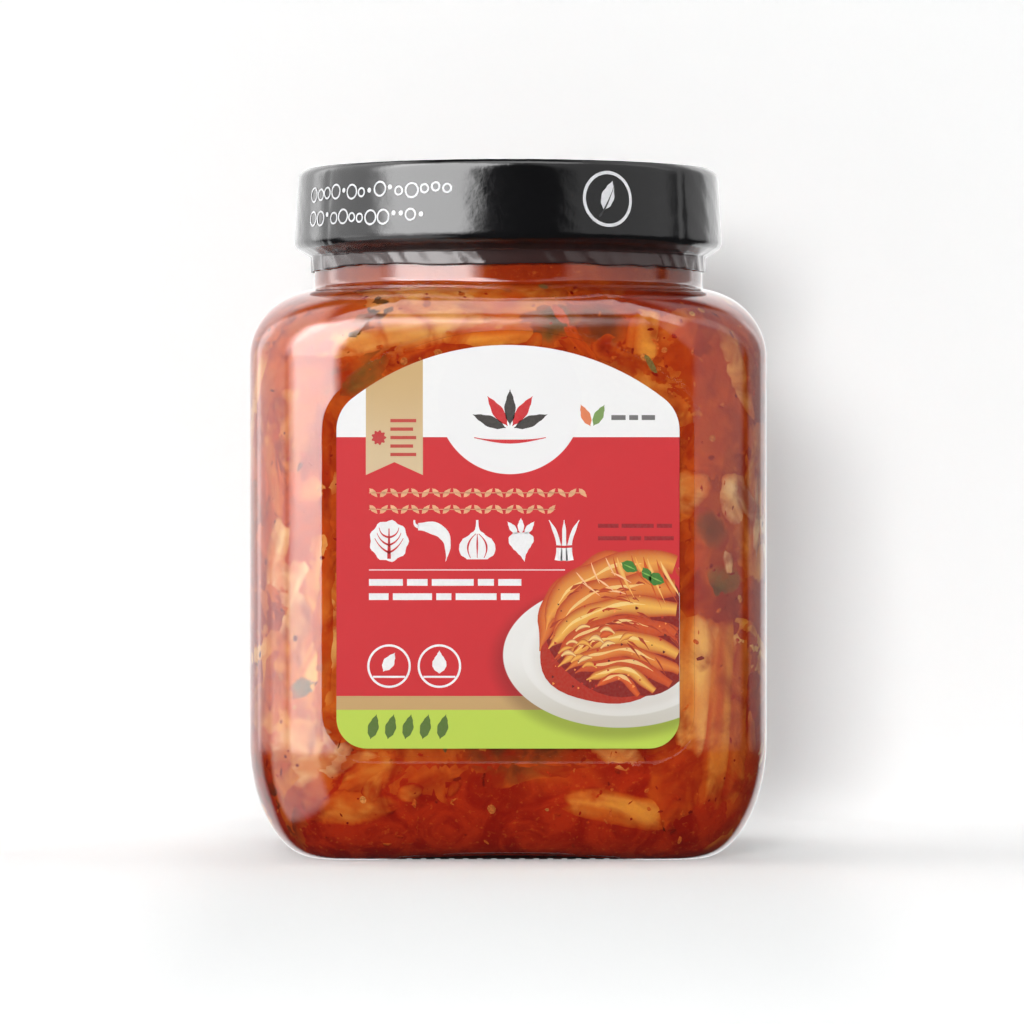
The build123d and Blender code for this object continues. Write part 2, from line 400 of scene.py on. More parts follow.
# Front pieces, from the left of the label round under it to the right: place seen from the front,
# length, width, turn, kind, shade, lift and bend.
front_pieces = (
    (-25, 119, 44, 11, 78, "stem", "pale", 0.16, 0.05),
    (-4, 119.5, 24, 11, 86, "stem", "yellow", 0.12, 0.0),
    (-41, 114, 13, 10, 20, "leaf", "orange", 0.18, 0.2),
    (-15, 114.5, 22, 5, 78, "leaf", "red", 0.22, 0.0),
    (-47, 120, 28, 9, 52, "leaf", "amber", 0.12, 0.3),
    (-54, 105, 34, 9, 14, "leaf", "amber", 0.1, 0.2),
    (9, 121, 22, 14, 80, "leaf", "green", 0.1, 0.0),
    (20, 121, 18, 13, 90, "leaf", "brown", 0.12, 0.0),
    (14.5, 119.5, 17, 3, -34, "stem", "orange", 0.3, 0.1),
    (6, 117.5, 6, 5, 40, "leaf", "amber", 0.28, 0.0),
    (22, 116, 7, 6, 0, "leaf", "red", 0.3, 0.3),
    (31, 119, 13, 9, 6, "stem", "yellow", 0.18, 0.0),
    (38, 121, 18, 8, 50, "leaf", "amber", 0.14, 0.2),
    (44, 117, 14, 10, 30, "leaf", "red", 0.18, 0.0),
    (53, 112, 34, 8, -18, "leaf", "pale", 0.1, 0.3),
    (-47, 100, 32, 15, 10, "leaf", "pale", 0.2, 0.1),
    (-49, 60, 38, 12, -6, "leaf", "cream", 0.12, 0.0),
    (-53.5, 90, 30, 6, -10, "leaf", "yellow", 0.2, 0.05),
    (-56, 86, 24, 5, -6, "leaf", "orange", 0.15, 0.0),
    (-45, 92, 20, 9, 10, "leaf", "orange", 0.1, 0.0),
    (-43, 84, 13, 8, 66, "leaf", "pale", 0.14, 0.0),
    (-52, 69, 17, 9, 12, "stem", "cream", 0.24, 0.1),
    (-48, 62.5, 14, 5, 22, "stem", "cream", 0.2, 0.1),
    (-43, 67, 16, 8, 4, "stem", "pale", 0.12, 0.0),
    (-54, 41, 19, 6, 6, "leaf", "amber", 0.22, 0.1),
    (-46.5, 39, 8, 6, 60, "leaf", "teal", 0.26, 0.0),
    (-48, 25, 22, 16, 66, "leaf", "cream", 0.3, 0.2),
    (-40, 21, 15, 10, 40, "leaf", "cream", 0.26, -0.2),
    (-50, 17, 18, 9, 50, "leaf", "yellow", 0.16, 0.2),
    (-44, 12, 16, 8, 30, "leaf", "amber", 0.14, 0.0),
    (-44.5, 18.5, 20, 13, 60, "leaf", "cream", 0.3, 0.1),
    (-51, 9, 22, 10, 30, "leaf", "amber", 0.2, 0.2),
    (-49, 13, 24, 6, 44, "leaf", "yellow", 0.28, 0.4),
    (-41.5, 52, 44, 5, 2, "leaf", "amber", 0.3, 0.0),
    (-41.5, 88, 40, 5, -2, "leaf", "red", 0.26, 0.0),
    (-31, 17, 17, 11, 60, "leaf", "yellow", 0.26, 0.1),
    (-36, 7, 22, 7, 82, "leaf", "yellow", 0.26, 0.1),
    (41, 83, 12, 10, 20, "leaf", "pale", 0.24, 0.3),
    (46, 75, 13, 10, -40, "leaf", "brown", 0.14, 0.0),
    (43, 69, 8, 7, 20, "leaf", "orange", 0.26, 0.0),
    (49, 63, 15, 9, 80, "leaf", "green", 0.18, 0.0),
    (50, 67, 6, 3, -10, "stem", "cream", 0.3, 0.0),
    (56.5, 78, 26, 4, 0, "leaf", "cream", 0.28, 0.0),
    (46, 96, 26, 13, 8, "leaf", "orange", 0.08, 0.0),
    (52, 32, 44, 10, 4, "stem", "amber", 0.2, 0.05),
    (38, 14, 24, 15, 10, "leaf", "orange", 0.2, 0.0),
    (42, 40, 34, 12, 2, "stem", "pale", 0.3, 0.03),
    (48, 33, 46, 9, 4, "stem", "yellow", 0.3, 0.03),
    (42, 61, 14, 9, 14, "leaf", "red", 0.3, 0.0),
    (24, 7.5, 24, 8, 100, "stem", "yellow", 0.2, 0.05),
    (-29, 13, 13, 5, 20, "leaf", "yellow", 0.34, 0.5),
    (-34, 20, 12, 4, 66, "leaf", "pale", 0.34, 0.4),
    (-22, 11, 6, 4, 70, "leaf", "yellow", 0.3, 0.0),
    (-12, 12, 5, 3, 30, "leaf", "amber", 0.3, 0.0),
    (-41.5, 60, 30, 4, 0, "leaf", "amber", 0.34, 0.0),
)

stems, leaves = Heap(), Heap()
luck = Random(41)
stem_shades = ("cream", "pale", "pale", "yellow", "yellow", "amber")
leaf_shades = ("pale", "yellow", "amber", "amber", "amber", "orange", "orange", "red", "brown", "green")
# how many to a side, length, width, the share of stems, and how far they stand out
packing = ((30, (34, 58), (20, 34), 0.0, (0.0, 0.06)),
           (20, (26, 50), (9, 17), 0.75, (0.03, 0.1)),
           (26, (10, 22), (5, 11), 0.35, (0.05, 0.13)))
for count, long, wide, stem_share, lifts in packing:
    for side in range(4):
        for number in range(count):
            reach = luck.uniform(-0.5, 0.5) * side_length / mm
            height = luck.uniform(-4, 138)
            kind = "stem" if luck.random() < stem_share else "leaf"
            shade = luck.choice(stem_shades if kind == "stem" else leaf_shades)
            # leaves on the right part of each side take the darker shades: painted shade on the side away
            # from the light
            if reach > 30 and kind == "leaf":
                shade = luck.choice(("orange", "orange", "red", "red", "amber", "brown"))
            sizes = (luck.uniform(*long), luck.uniform(*wide), luck.uniform(-90, 90))
            last = (luck.uniform(*lifts), luck.uniform(-0.25, 0.25), luck.randrange(9999))
            if side == 0 and (height < 30 and abs(reach) < 42 or stem_share and height > 100):
                continue
            cabbage(stems if kind == "stem" else leaves, side * side_length + reach * mm, height * mm,
                    *sizes, kind, shade, *last)
for number, (x, z, length, width, turn, kind, shade, lift, bend) in enumerate(front_pieces):
    cabbage(stems if kind == "stem" else leaves, *front_place(x, z), length, width, turn, kind, shade,
            lift, bend, number)
stems.piece("cabbage_stems", cabbage_skin("cabbage_stem", 0.3, 0.86), "kimchi")
leaves.piece("cabbage_leaves", cabbage_skin("cabbage_leaf", 0.15, 0.92), "kimchi")


# ---------------------------------------------------------------- Chilli flakes, seeds and herbs
# Coarse dried chilli, its flat round seeds and cut spring onion float in the sauce and lie on the
# cabbage. Each bit is a small flattened shell against the wall, of true size.

def lump(luck, turns, long, wide, thick, rough):
    """Points and faces of a small flattened body, long by wide by thick, in millimetres."""
    points = [Vector((0, 0, thick / 2))]
    for ring, (reach, height) in enumerate(((0.72, 0.42), (1.0, 0.0))):
        for k in range(turns):
            angle = 2 * pi * k / turns + ring * pi / turns
            far = reach * (1 + luck.uniform(-rough, rough))
            points.append(Vector((cos(angle) * far * long / 2, sin(angle) * far * wide / 2, height * thick)))
    faces = [(0, 1 + k, 1 + (k + 1) % turns) for k in range(turns)]
    for k in range(turns):
        a, b = 1 + k, 1 + (k + 1) % turns
        faces += [(a, a + turns, b), (a + turns, b + turns, b)]
    return points, faces


def strew(heap, luck, count, long, wide, thick, rough, turns, tints, level, low=1.0, high=136.0):
    """Lays small pieces all round the jar, with more of them in some patches than in others."""
    laid = 0
    while laid < count:
        along = luck.uniform(0, 4) * side_length
        up = luck.uniform(low, high) * mm
        here, out = wall_place(along, up)
        if noise.noise(here / mm * 0.04 + Vector((3, 8, 1))) + 0.55 < luck.random():
            continue
        laid += 1
        size = luck.uniform(0.6, 1.35)
        points, faces = lump(luck, turns, luck.uniform(*long) * size, luck.uniform(*wide) * size,
                             thick, rough)
        side = out.cross(Vector((0, 0, 1)))
        side = side.normalized() if side.length > 0.1 else Vector((1, 0, 0))
        turn = Matrix.Rotation(luck.uniform(0, 2 * pi), 3, out)
        side = turn @ side
        over = out.cross(side)
        first = len(heap.points)
        tint = mixed(*luck.choice(tints), luck.random())[:3] + (luck.random(),)
        base = here + out * (luck.uniform(*level) * mm)
        heap.points += [base + (side * p.x + over * p.y + out * p.z) * mm for p in points]
        heap.paint += [tint] * len(points)
        heap.faces += [tuple(first + k for k in face) for face in faces]


def bit_skin(name, rough):
    """Dried or raw vegetable in its own colour, mottled with red."""
    made, shader = finish(name, {"Roughness": rough, "Specular IOR Level": 0.0})
    mottle = speckle(made, place_of(made), 2.2, 2.0)
    stain = colour(120, 26, 10)
    feed(made, layer(made, painted(made)["Color"], stain, mottle, 0.35, 0.7, 0.0, 0.5), shader)
    bump(made, shader, mottle, 0.3, 0.0002)
    return made


luck = Random(7)
flakes, seeds, herbs = Heap(), Heap(), Heap()
strew(flakes, luck, 1300, (0.5, 1.9), (0.4, 1.0), 0.14, 0.35, 7,
      ((colour(168, 36, 12), colour(206, 70, 22)), (colour(126, 24, 8), colour(158, 44, 16)),
       (colour(206, 90, 30), colour(220, 120, 50))), (0.25, 0.5))
strew(seeds, luck, 170, (1.5, 2.0), (1.2, 1.6), 0.2, 0.08, 9,
      ((colour(230, 170, 90), colour(212, 130, 56)), (colour(220, 140, 66), colour(194, 96, 38))),
      (0.25, 0.45))
strew(herbs, luck, 18, (2.2, 4.6), (0.9, 1.6), 0.2, 0.12, 9,
      ((colour(104, 104, 56), colour(140, 132, 72)), (colour(88, 78, 44), colour(118, 98, 54))), (0.25, 0.45))
flakes.piece("chilli_flakes", bit_skin("chilli_flake", 0.6), "kimchi")
seeds.piece("chilli_seeds", bit_skin("chilli_seed", 0.5), "kimchi")
herbs.piece("spring_onion", bit_skin("spring_onion_green", 0.5), "kimchi")


# ---------------------------------------------------------------- Cap
# A black moulded screw cap. Only its top shows, inside the ring of film, and its surface is
# finely stippled with faint turning marks from the mould.

black_plastic, shader = finish("black_cap_plastic", {})
place = place_of(black_plastic)
stipple = speckle(black_plastic, place, 3.2, 3.0)
rings = step(black_plastic, "TexWave", {"Vector": place, "Scale": 0.35, "Distortion": 0.3},
             wave_type="RINGS", rings_direction="Z").outputs[1]
feed(black_plastic, layer(black_plastic, colour(24, 24, 26), colour(36, 36, 38), stipple, 0.35, 0.65),
     shader)
feed(black_plastic, between(black_plastic, stipple, 0.3, 0.7, 0.34, 0.5), shader, "Roughness")
bump(black_plastic, shader, sums(black_plastic, "MULTIPLY_ADD", rings, 0.15, stipple), 0.3, 0.00015)
nodes["cap"].data.materials[0] = black_plastic


# ---------------------------------------------------------------- Shrink band
# A sleeve of black film shrunk over the cap with heat. It laps onto the cap's top, clings to the
# skirt, draws in under it and ends in a crumpled hem on the neck.

around = 360                              # points in each ring of film
top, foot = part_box("shrink_band")[1].z / mm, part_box("cap")[0].z / mm
skirt_top, skirt_foot = top - 2.8, foot + 0.4
skirt_radius, skirt_flare = 49.15, 0.8
neck_radius, neck_start, hem_drop = 46.0, foot - 2.6, 3.3
# each ring's radius, its height and how much it may crumple, in millimetres
profile = [(43.7 + 3.9 * share, top - 0.16, 0.03) for share in (0.0, 0.25, 0.5, 0.75, 1.0)]
profile += [(47.0 + 2.05 * sin(radians(turn)) + 0.08, top - 2.36 + 2.2 * cos(radians(turn)), 0.02)
            for turn in (20, 40, 60, 80)]
profile += [(skirt_radius + skirt_flare * share, skirt_top - (skirt_top - skirt_foot) * share, 0.05)
            for share in [k / 14 for k in range(15)]]
profile += [(49.9 - 3.9 * share, foot - 0.3 - 2.3 * share, 0.05 + 0.22 * share)
            for share in (0.12, 0.3, 0.5, 0.7, 0.88, 1.0)]
profile += [(neck_radius + 0.05 * share, neck_start - hem_drop * share, 0.26)
            for share in [k / 7 for k in range(1, 8)]]
film_creases = (-146.6, -36.1)            # degrees round the skirt


def crumple(angle, height, amount):
    """How far the film stands out from its resting line: fine upright pleats and loose dents."""
    at = Vector((cos(angle) * 3.2, sin(angle) * 3.2, height * 0.11))
    pleat = 0.5 + 0.5 * sin(angle * 46 + 5 * noise.noise(at) + height * 0.9)
    return amount * (0.75 * pleat ** 2 + 0.9 * abs(noise.noise(at * 2.2 + Vector((4, 1, 0)))))


bpy.ops.mesh.primitive_circle_add(vertices=around, radius=profile[0][0] * mm,
                                  location=(0, 0, profile[0][1] * mm))
film = bpy.context.object
film.name = film.data.name = "shrink_film"
bpy.ops.object.mode_set(mode="EDIT")
bpy.ops.mesh.select_all(action="SELECT")
for (radius, height, _), (next_radius, next_height, _) in zip(profile, profile[1:]):
    bpy.ops.mesh.extrude_region_move(
        TRANSFORM_OT_translate={"value": (0, 0, (next_height - height) * mm)})
    bpy.ops.transform.resize(value=(next_radius / radius, next_radius / radius, 1),
                             center_override=(0, 0, next_height * mm))
bpy.ops.object.mode_set(mode="OBJECT")
show_only(film)
bpy.ops.object.transform_apply(location=True)
hem = profile[-1][1]
for point in film.data.vertices:
    angle = atan2(point.co.y, point.co.x)
    radius, height = hypot(point.co.x, point.co.y) / mm, point.co.z / mm
    loose = min(profile, key=lambda ring: abs(ring[0] - radius) + abs(ring[1] - height))[2]
    out = crumple(angle, height, loose)
    for crease in film_creases:
        out -= 0.16 * max(0, 1 - abs(degrees(angle) - crease) / 1.6) if radius > 49 else 0
    if loose > 0.2:
        drop = smooth(neck_start, hem, height)
        height += drop * (0.5 * noise.noise(Vector((cos(angle) * 2.1, sin(angle) * 2.1, 2)))
                          + 0.35 * noise.noise(Vector((cos(angle) * 9, sin(angle) * 9, 5))))
    if height > top - 0.5:
        point.co.z = (height + out) * mm
        continue
    point.co = Vector((cos(angle) * (radius + out), sin(angle) * (radius + out), height)) * mm
apply_modifier(film, "SOLIDIFY", thickness=0.06 * mm, offset=-1)
bpy.ops.object.shade_smooth()

black_film, shader = finish("black_shrink_film", {"IOR": 1.53, "Roughness": 0.13, "Coat Weight": 0.12,
                                                  "Coat Roughness": 0.05})
place = place_of(black_film)
height = step(black_film, "SeparateXYZ", {0: place}).outputs[2]
haze = speckle(black_film, place, 0.11, 2.0)
creases = speckle(black_film, place, 0.5, 4.0, Roughness=0.65)
# the film's lower part, under the skirt and down the neck, is tinted brownish red: a painted reflection of
# the red shoulder below it
low_down = between(black_film, height, foot - 4.2, foot - 0.6, 1.0, 0.0)
tone = blend(black_film, haze, colour(11, 11, 12), colour(17, 17, 19))
tone = blend(black_film, sums(black_film, "MULTIPLY", low_down, 0.6), tone, colour(70, 48, 46))
feed(black_film, tone, shader)
bump(black_film, shader, creases, 0.25, 0.00025)
film.data.materials.append(black_film)
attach(film, "root")
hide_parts("shrink_band")


# ---------------------------------------------------------------- Front label
# A glossy die-cut paper label on the front panel: a white arched head, a red field, a gold line
# and a green foot, with a white disc, a gold ribbon and a plate printed over them.

label_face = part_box("front_label")[0].y
label_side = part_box("front_label")[1].x / mm - 0.05

paper_gloss = {"Roughness": 0.42, "Specular IOR Level": 0.35}
printed, shader = finish("label_print", paper_gloss)
place = place_of(printed)
x, _, z = step(printed, "SeparateXYZ", {0: place}).outputs


def below(edge, value=None, soft=0.03):
    """1 under an edge and 0 over it, for the height or for another value."""
    return between(printed, z if value is None else value, edge - soft, edge + soft, 1.0, 0.0, "LINEAR")


def both_of(*shares):
    made = shares[0]
    for share in shares[1:]:
        made = sums(printed, "MULTIPLY", made, share)
    return made


def far_from(middle_x, middle_z, half_x=1.0, half_z=1.0):
    """Distance from a middle, in half sizes."""
    dx = sums(printed, "DIVIDE", sums(printed, "SUBTRACT", x, middle_x), half_x)
    dz = sums(printed, "DIVIDE", sums(printed, "SUBTRACT", z, middle_z), half_z)
    square = sums(printed, "MULTIPLY_ADD", dx, dx, sums(printed, "MULTIPLY", dz, dz))
    return sums(printed, "SQRT", square)


# the print's fields, in millimetres: heights, then the disc, the ribbon and the plate
field_top, gold_top, foot_top = 95.7, 37.6, 34.5
disc_x, disc_z, disc_radius = 0.45, 103.6, 16.2
ribbon_left, ribbon_right, notch_top, notch_slope = -31.9, -19.1, 90.1, 0.453
plate = (25.1, 46.8, 26.2, 16.3)
plate_shadow = (24.4, 45.4, 27.8, 17.6)
paper = speckle(printed, place, 0.8, 2.0)
tint = blend(printed, paper, colour(241, 241, 241), colour(245, 245, 244))
for edge, field in ((field_top, colour(203, 42, 48)), (gold_top, colour(197, 161, 108)),
                    (foot_top, colour(188, 212, 80))):
    tint = blend(printed, below(edge), tint, field)
disc = far_from(disc_x, disc_z)
tint = blend(printed, below(disc_radius, disc), tint, colour(242, 242, 242))
ribbon = both_of(below(ribbon_right, x), sums(printed, "SUBTRACT", 1.0, below(ribbon_left, x)))
notch = sums(printed, "ABSOLUTE", sums(printed, "SUBTRACT", x, (ribbon_left + ribbon_right) / 2))
notch = sums(printed, "SUBTRACT", notch_top, sums(printed, "MULTIPLY", notch, notch_slope))
above_notch = below(0.0, sums(printed, "SUBTRACT", notch, z))
gold = layer(printed, colour(214, 190, 152), colour(203, 170, 118), z, 87.0, 112.0)
tint = blend(printed, both_of(ribbon, above_notch), tint, gold)
shade = far_from(*plate_shadow)
tint = layer(printed, tint, colour(60, 20, 16), shade, 0.9, 1.08, 0.4, 0.0)
dish = far_from(*plate)
china = layer(printed, colour(204, 200, 188), colour(236, 235, 231), z, 30.0, 48.0)
tint = blend(printed, below(1.0, dish, 0.003), tint, china)
well = layer(printed, colour(226, 222, 216), colour(238, 237, 233), dish, 0.7, 0.8)
tint = blend(printed, both_of(below(0.84, dish, 0.01), 0.55), tint, well)
feed(printed, tint, shader)
bump(printed, shader, paper, 0.04, 0.0001)
nodes["front_label"].data.materials[0] = printed


class Ink(Heap):
    """Thin flat shapes of ink, placed by a function that gives a point for x, z and a level."""

    def __init__(self, lay):
        super().__init__()
        self.lay = lay

    def strip(self, path, widths, tint, level=0.0, edge_tint=None):
        """A stroke along a path, as wide as the widths spread over it."""
        rows, paints = [], []
        for k, (px, pz) in enumerate(path):
            before, after = path[max(k - 1, 0)], path[min(k + 1, len(path) - 1)]
            dx, dz = after[0] - before[0], after[1] - before[1]
            long = hypot(dx, dz) or 1.0
            t = k / (len(path) - 1) * (len(widths) - 1)
            low = min(int(t), len(widths) - 2)
            half = mixed((widths[low],), (widths[low + 1],), smooth(0, 1, t - low))[0] / 2
            spread = (-1, -0.5, 0, 0.5, 1)
            rows.append([self.lay(px - dz / long * half * v, pz + dx / long * half * v, level)
                         for v in reversed(spread)])
            edge = edge_tint or tint
            paints.append([mixed(tint, edge, abs(v) ** 1.5) for v in spread])
        self.grid(rows, paints)

    def disc(self, px, pz, radius, tint, level=0.0, wave=0.0, waves=0, tall=1.0):
        first, count = len(self.points), 40
        rim = [(px + radius * (1 + wave * cos(waves * a)) * cos(a),
                pz + radius * tall * (1 + wave * cos(waves * a)) * sin(a))
               for a in [2 * pi * k / count for k in range(count)]]
        self.points += [self.lay(px, pz, level)] + [self.lay(*p, level) for p in rim]
        self.paint += [tint] * (count + 1)
        self.faces += [(first, first + 1 + k, first + 1 + (k + 1) % count) for k in range(count)]

    def ring(self, px, pz, radius, wide, tint, level=0.0):
        path = [(px + radius * cos(a), pz + radius * sin(a)) for a in [2 * pi * k / 48 for k in range(49)]]
        self.strip(path, (wide, wide), tint, level)

    def leaf(self, px, pz, length, wide, turn, tint, level=0.0):
        dx, dz = sin(radians(turn)) * length / 2, cos(radians(turn)) * length / 2
        self.strip(bow((px - dx, pz - dz), (px, pz), (px + dx, pz + dz)),
                   (0.02, wide * 0.8, wide, wide * 0.6, 0.02), tint, level)


def bow(start, lean, end, count=14):
    """Points on a curve from start to end that leans towards the middle point."""
    return [tuple((1 - t) ** 2 * a + 2 * t * (1 - t) * b + t * t * c for a, b, c in zip(start, lean, end))
            for t in [k / count for k in range(count + 1)]]


def on_label(px, pz, level):
    return Vector((min(px, label_side) * mm, label_face - (0.01 + 0.004 * level) * mm, pz * mm))


white, cherry = colour(243, 243, 243), colour(203, 42, 48)
gilt, dark = colour(235, 176, 132), colour(62, 58, 56)
art = Ink(on_label)


def dashes(px, pz, lengths, gap, wide, tint):
    """A row of dashes that starts at a point and runs to the right."""
    for length in lengths:
        art.strip([(px, pz), (px + length, pz)], (wide, wide), tint)
        px += length + gap


# five vegetables in a row: cabbage, chilli, garlic, radish and spring onion
row, left_edge = 72.4, -31.2
art.disc(-26.7, row, 4.3, white, 0, 0.05, 9, 1.06)
art.strip(bow((-26.7, row - 4.0), (-26.7, row), (-26.7, row + 2.8)), (0.8, 0.25), cherry, 1)
for way in (-1, 1):
    for k in range(3):
        art.strip(bow((-26.7, row - 2.6 + k * 1.7), (-26.7 + way * 2.0, row - 1.8 + k * 1.5),
                      (-26.7 + way * (3.2 - 0.5 * k), row + 0.6 + k * 1.2)), (0.45, 0.15), cherry, 1)
art.strip(bow((-20.2, row + 3.2), (-11.8, row + 3.6), (-14.0, row - 4.6), 20),
          (1.6, 2.9, 2.5, 1.4, 0.1), white)
art.strip(bow((-20.0, row + 3.2), (-21.2, row + 3.4), (-21.0, row + 4.7)), (0.8, 0.4), white)
art.strip([(-6.9, row + 4.7 - k * 0.42) for k in range(22)],
          (0.5, 0.6, 1.0, 3.6, 6.8, 8.0, 8.2, 7.6, 4.6), white)
for way in (-1, 0, 1):
    art.strip(bow((-6.9 + way * 0.3, row + 1.6), (-6.9 + way * 3.2, row - 0.8),
                  (-6.9 + way * 1.5, row - 3.8)), (0.15, 0.4, 0.15), cherry, 1)
art.strip([(2.9 + 0.02 * k * k / 8, row + 1.9 - k * 0.36) for k in range(19)],
          (3.4, 5.6, 5.6, 4.2, 2.4, 0.9, 0.1), white)
for turn in (-38, 0, 38):
    art.leaf(2.9 + turn * 0.05, row + 3.4 - abs(turn) * 0.012, 3.6, 1.5, turn, white)
for way in (-1, 0, 1):
    art.strip(bow((12.6 + way * 1.3, row - 4.4), (12.6 + way * 0.5, row), (12.6 + way * 3.4, row + 4.7)),
              (1.7, 1.3, 0.9, 0.9, 0.15), white)
art.strip([(10.6, row - 1.2), (12.6, row - 1.35), (14.6, row - 1.2)], (0.55, 0.55), cherry, 1)

# an ear of gold grain in two rows, a rule, two rows of white dashes, and dark dashes at the right
for level, last in ((83.2, 17.0), (79.5, 10.6)):
    count = int((last + 31.0) / 2.35)
    for k in range(count + 1):
        art.leaf(-30.2 + k * 2.35, level, 2.7, 1.15, 42 if k % 2 else 138, gilt)
    art.strip([(left_edge, level), (last, level)], (0.16, 0.16), gilt)
art.strip([(left_edge, 65.9), (12.8, 65.9)], (0.28, 0.28), colour(236, 200, 200))
for level, lengths in ((63.1, (7.6, 4.6, 9.4, 3.6, 5.2)), (59.9, (4.4, 8.8, 3.4, 9.2, 4.2))):
    dashes(left_edge, level, lengths, 0.95, 1.5, white)
for level, lengths in ((75.8, (4.6, 7.2, 3.4)), (73.0, (6.4, 2.6, 6.6))):
    dashes(20.2, level, lengths, 0.7, 0.9, colour(150, 26, 34))

# two ring badges, with a leaf and with a drop
for middle in (-26.7, -15.4):
    art.ring(middle, 44.3, 4.65, 0.5, white)
    art.strip([(middle - 3.6, 41.9), (middle + 3.6, 41.9)], (0.45, 0.45), white)
art.leaf(-26.7, 45.2, 5.0, 2.6, 32, white)
art.strip([(-15.4, 47.8 - 0.3 * k) for k in range(18)], (0.05, 1.0, 2.2, 3.1, 3.2, 2.4, 0.3), white)

# a fan of leaves on the disc, a sprig beside it, a sun on the ribbon and leaves on the green foot
for turn, tint in ((-68, dark), (68, dark), (-34, cherry), (34, cherry), (0, dark)):
    art.leaf(0.45 + sin(radians(turn)) * 5.0, 97.4 + cos(radians(turn)) * 5.0, 8.2, 2.6, turn, tint)
art.strip(bow((-7.6, 95.6), (0.45, 93.8), (8.5, 95.6)), (0.2, 0.9, 0.2), cherry)
art.leaf(17.4, 100.6, 5.4, 2.2, -24, colour(226, 128, 84))
art.leaf(20.4, 100.6, 5.4, 2.2, 28, colour(120, 150, 84))
dashes(23.2, 100.1, (3.2, 2.0, 3.0), 0.8, 1.1, colour(112, 110, 110))
art.disc(-29.0, 95.6, 1.5, colour(190, 52, 52), 0, 0.16, 9)
for k in range(5):
    dashes(-26.4, 99.4 - 1.9 * k, [5.8 - 0.7 * (k % 2)], 0, 0.75, colour(190, 66, 56))
for k in range(5):
    art.leaf(-30.2 + 3.9 * k, 30.7, 5.8, 2.5, 14, colour(84, 112, 46))


def worn_ink(name, values, scale, most, worn):
    """Ink in the colours of its shapes, with a faint mottle of a worn colour."""
    made, shader = finish(name, values)
    wear = speckle(made, place_of(made), scale, 2.0)
    feed(made, layer(made, painted(made)["Color"], worn, wear, 0.3, 0.7, 0.0, most), shader)
    return made


ink = worn_ink("label_ink", paper_gloss, 1.6, 0.06, colour(150, 140, 130))
art.piece("label_emblems", ink, "label")

# the serving on the plate: a folded quarter of cabbage, cut face to the front
luck = Random(5)
food = Ink(on_label)
blood, rust, flame = colour(132, 20, 10), colour(188, 60, 20), colour(222, 96, 30)
straw, butter = colour(240, 180, 78), colour(248, 216, 140)
food.disc(22.5, 46.5, 15.6, colour(176, 40, 18), 0, 0.02, 5, 0.68)
food.disc(25.5, 52.0, 16.6, blood, 0.4, 0.03, 4, 0.86)
food.disc(31.0, 47.2, 11.0, blood, 0.3, 0.04, 4, 0.84)
food.disc(31.5, 55.5, 9.6, blood, 0.5, 0.05, 5, 1.0)


def fold(path, widths, tint, level, edge):
    """One folded layer: a wavy stroke with a paler line along its back."""
    wavy = [(px + 0.7 * noise.noise(Vector((px * 0.22, pz * 0.22, level))),
             pz + 1.2 * noise.noise(Vector((px * 0.16, pz * 0.16, level + 40)))) for px, pz in path]
    food.strip(wavy, widths, tint, level, edge)
    food.strip([(px + 0.15, pz + 0.3) for px, pz in wavy[4:-5]], (0.1, 0.7, 0.3, 0.9, 0.1),
               mixed(tint, butter, 0.75), level + 0.15)


for start, lean, end, wide, tint in (
        ((7.4, 47.5), (9.5, 66.5), (27, 68.4), 5.4, colour(222, 122, 46)),
        ((8.4, 52), (16, 71.5), (41, 66.2), 7.4, colour(234, 158, 66)),
        ((9.4, 50), (19, 66.5), (41, 61.0), 6.4, colour(228, 138, 54)),
        ((9.2, 48), (18, 62.5), (41, 55.4), 5.2, straw),
        ((10.4, 46), (20, 59), (41, 50.4), 4.2, colour(206, 84, 30)),
        ((11.4, 44.6), (22, 55.5), (41, 45.6), 4.4, straw),
        ((13.2, 43), (23, 52.5), (40, 42.4), 3.6, colour(226, 132, 50)),
        ((15.2, 41.8), (24, 49.6), (36.4, 40.2), 2.9, colour(206, 84, 30)),
        ((17.6, 40.8), (24, 46.8), (33, 38.8), 2.6, straw),
        ((20.2, 39.8), (24, 43.6), (29.4, 38.2), 2.0, flame)):
    level = 1 + 0.4 * (70 - end[1]) / 4
    path = [point for point in bow(start, lean, end, 28) if point[0] < 39.2]
    fold(path, [0.3] + [wide * share for share in (0.8, 1.0, 0.75, 0.95, 0.6)], tint, level, rust)
for k in range(13):
    px, pz = luck.uniform(11, 26), luck.uniform(43, 53)
    food.strip(bow((px, pz), (px + 1.4, pz + 1.6), (px + 3.2, pz + luck.uniform(-0.6, 1.4)), 8),
               (0.5, luck.uniform(0.9, 1.7), 0.4), luck.choice((butter, straw, flame)), 5 + 0.1 * k, rust)
for k in range(46):
    angle, reach = luck.uniform(-0.4, 3.3), luck.uniform(4, 15)
    px, pz = 23.5 + reach * cos(angle), 48.5 + 1.15 * reach * sin(angle)
    size, lean = luck.uniform(0.8, 2.4), 0.5 * (angle - pi / 2) + luck.uniform(-0.2, 0.2)
    smear = [(px + size * way * cos(lean), pz + size * way * sin(lean) - 0.3 * way * way)
             for way in (-1, -0.4, 0.3, 1)]
    food.strip(smear, (0.1, luck.uniform(0.4, 1.0), 0.3, 0.1), mixed(blood, rust, luck.random()),
               5.5 + 0.01 * k, mixed(rust, flame, luck.random()))
px = 19.5
